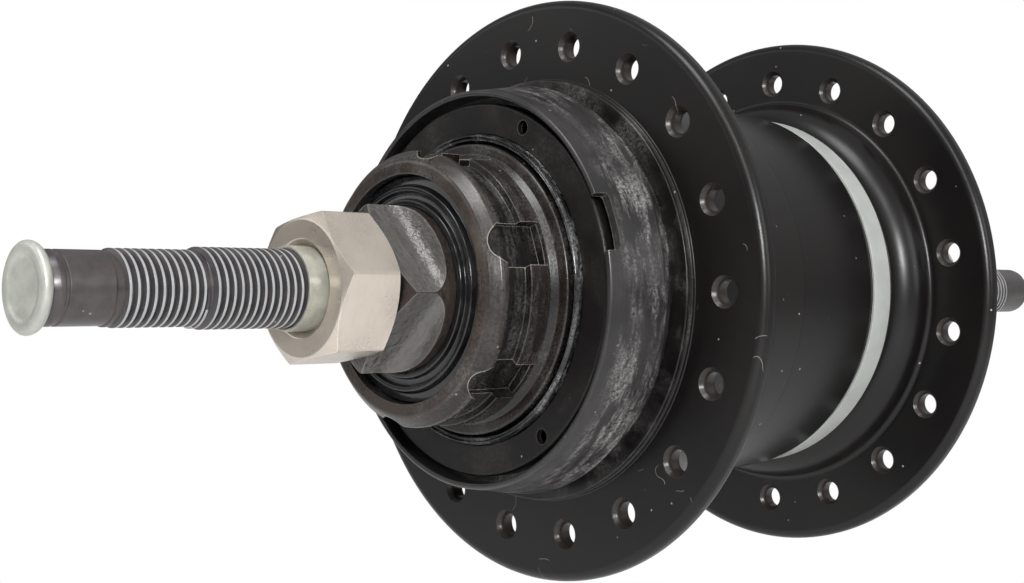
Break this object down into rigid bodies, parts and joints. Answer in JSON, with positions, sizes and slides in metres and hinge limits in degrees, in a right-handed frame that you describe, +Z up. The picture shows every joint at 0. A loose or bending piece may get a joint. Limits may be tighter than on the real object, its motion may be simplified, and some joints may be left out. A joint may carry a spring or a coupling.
{
  "type": "internal gear hub",
  "caption": "Rear bicycle hub with planetary gears inside, spoke flanges, a notched sprocket driver and a threaded axle",
  "frame": {"origin": "on the axle's axis, midway between the middles of the two spoke flanges", "axes": "Y along the axle with the drive side towards -Y; +Z up; +X completes the right hand"},
  "size_m": [0.0794, 0.2009, 0.0794],
  "materials": {
    "shell_black": "satin black over aluminium, fine grain",
    "band_aluminium": "brushed round the barrel",
    "axle_steel": "turned and rolled steel with dark thread roots",
    "cap_zinc": "pale zinc plate, bright on the rim",
    "sleeve_nylon": "cream nylon",
    "nut_nickel": "warm pale nickel plate",
    "cone_steel": "hardened dark steel with grease",
    "seal_rubber": "black, greased",
    "driver_steel": "brown-grey hardened steel, bright on its edges",
    "cup_steel": "blackened steel with dried grease",
    "cap_steel": "dark pressed steel",
    "gear_steel": "ground steel with oil",
    "bearing_steel": "ground and polished",
    "cage_brass": "pressed",
    "spring_steel": "drawn wire"
  },
  "bodies": {
    "axle_unit": {"axle": "axle_steel", "axle_end_cap": "cap_zinc", "locknut_sleeve": "sleeve_nylon", "drive_locknut": "nut_nickel", "drive_cone": "cone_steel", "cone_seal": "seal_rubber", "sun_gear": "gear_steel", "spring_washer": "gear_steel", "clutch_spring": "spring_steel", "thrust_washer": "gear_steel", "axle_circlip": "spring_steel", "left_cone": "cone_steel", "left_washer": "nut_nickel", "left_locknut": "nut_nickel"},
    "selector": {"push_rod": "spring_steel", "shift_key": "gear_steel"},
    "driver": {"driver": "driver_steel"},
    "sliding_clutch": {"sliding_clutch": "gear_steel"},
    "ring_gear": {"ring_gear": "gear_steel", "drive_clutch_rollers": "bearing_steel", "drive_roller_cage": "cage_brass"},
    "carrier": {"planet_carrier": "gear_steel", "carrier_plate": "gear_steel", "planet_pins": "bearing_steel", "low_clutch_cam": "gear_steel", "low_clutch_rollers": "bearing_steel", "low_roller_cage": "cage_brass", "cage_spring": "spring_steel"},
    "planet_1": {"planet_gear_1": "gear_steel"},
    "planet_2": {"planet_gear_2": "gear_steel"},
    "planet_3": {"planet_gear_3": "gear_steel"},
    "planet_4": {"planet_gear_4": "gear_steel"},
    "shell": {"hub_shell": "shell_black", "shell_band": "band_aluminium", "drive_clutch_race": "bearing_steel", "low_clutch_race": "bearing_steel", "drive_ball_cup": "cup_steel", "drive_dust_cap": "cap_steel", "drive_seal": "seal_rubber", "left_ball_cup": "bearing_steel", "left_dust_cap": "cap_steel"},
    "cone_balls": {"cone_bearing_balls": "bearing_steel", "cone_ball_cage": "cage_brass"},
    "cup_balls": {"cup_bearing_balls": "bearing_steel", "cup_ball_cage": "cage_brass"},
    "left_balls": {"left_bearing_balls": "bearing_steel", "left_ball_cage": "cage_brass"}
  },
  "joints": [
    {"name": "driver_spin", "type": "hinge", "parent": "axle_unit", "child": "driver", "pos_m": [0, 0, 0], "axis": [0, 1, 0], "continuous": true},
    {"name": "ring_spin", "type": "hinge", "parent": "axle_unit", "child": "ring_gear", "pos_m": [0, 0, 0], "axis": [0, 1, 0], "continuous": true},
    {"name": "carrier_spin", "type": "hinge", "parent": "axle_unit", "child": "carrier", "pos_m": [0, 0, 0], "axis": [0, 1, 0], "continuous": true},
    {"name": "planet_1_spin", "type": "hinge", "parent": "carrier", "child": "planet_1", "pos_m": [0.0135, -0.002, 0], "axis": [0, 1, 0], "continuous": true},
    {"name": "planet_2_spin", "type": "hinge", "parent": "carrier", "child": "planet_2", "pos_m": [0, -0.002, 0.0135], "axis": [0, 1, 0], "continuous": true},
    {"name": "planet_3_spin", "type": "hinge", "parent": "carrier", "child": "planet_3", "pos_m": [-0.0135, -0.002, 0], "axis": [0, 1, 0], "continuous": true},
    {"name": "planet_4_spin", "type": "hinge", "parent": "carrier", "child": "planet_4", "pos_m": [0, -0.002, -0.0135], "axis": [0, 1, 0], "continuous": true},
    {"name": "cone_cage_spin", "type": "hinge", "parent": "axle_unit", "child": "cone_balls", "pos_m": [0, 0, 0], "axis": [0, 1, 0], "continuous": true},
    {"name": "shell_spin", "type": "hinge", "parent": "axle_unit", "child": "shell", "pos_m": [0, 0, 0], "axis": [0, 1, 0], "continuous": true},
    {"name": "cup_cage_spin", "type": "hinge", "parent": "axle_unit", "child": "cup_balls", "pos_m": [0, 0, 0], "axis": [0, 1, 0], "continuous": true},
    {"name": "left_cage_spin", "type": "hinge", "parent": "axle_unit", "child": "left_balls", "pos_m": [0, 0, 0], "axis": [0, 1, 0], "continuous": true},
    {"name": "shift_slide", "type": "slide", "parent": "axle_unit", "child": "selector", "axis": [0, 1, 0], "range_m": [0, 0.002]},
    {"name": "clutch_slide", "type": "slide", "parent": "driver", "child": "sliding_clutch", "axis": [0, 1, 0], "range_m": [0, 0.002]}
  ],
  "couplings": [
    {"joint": "ring_spin", "follows": "driver_spin", "ratio": 1},
    {"joint": "carrier_spin", "follows": "driver_spin", "ratio": 0.73333},
    {"joint": "planet_1_spin", "follows": "driver_spin", "ratio": 0.8381},
    {"joint": "planet_2_spin", "follows": "driver_spin", "ratio": 0.8381},
    {"joint": "planet_3_spin", "follows": "driver_spin", "ratio": 0.8381},
    {"joint": "planet_4_spin", "follows": "driver_spin", "ratio": 0.8381},
    {"joint": "cone_cage_spin", "follows": "driver_spin", "ratio": 0.62143},
    {"joint": "cup_cage_spin", "follows": "shell_spin", "ratio": 0.55509},
    {"joint": "left_cage_spin", "follows": "shell_spin", "ratio": 0.63804},
    {"joint": "clutch_slide", "follows": "shift_slide", "ratio": 1}
  ]
}
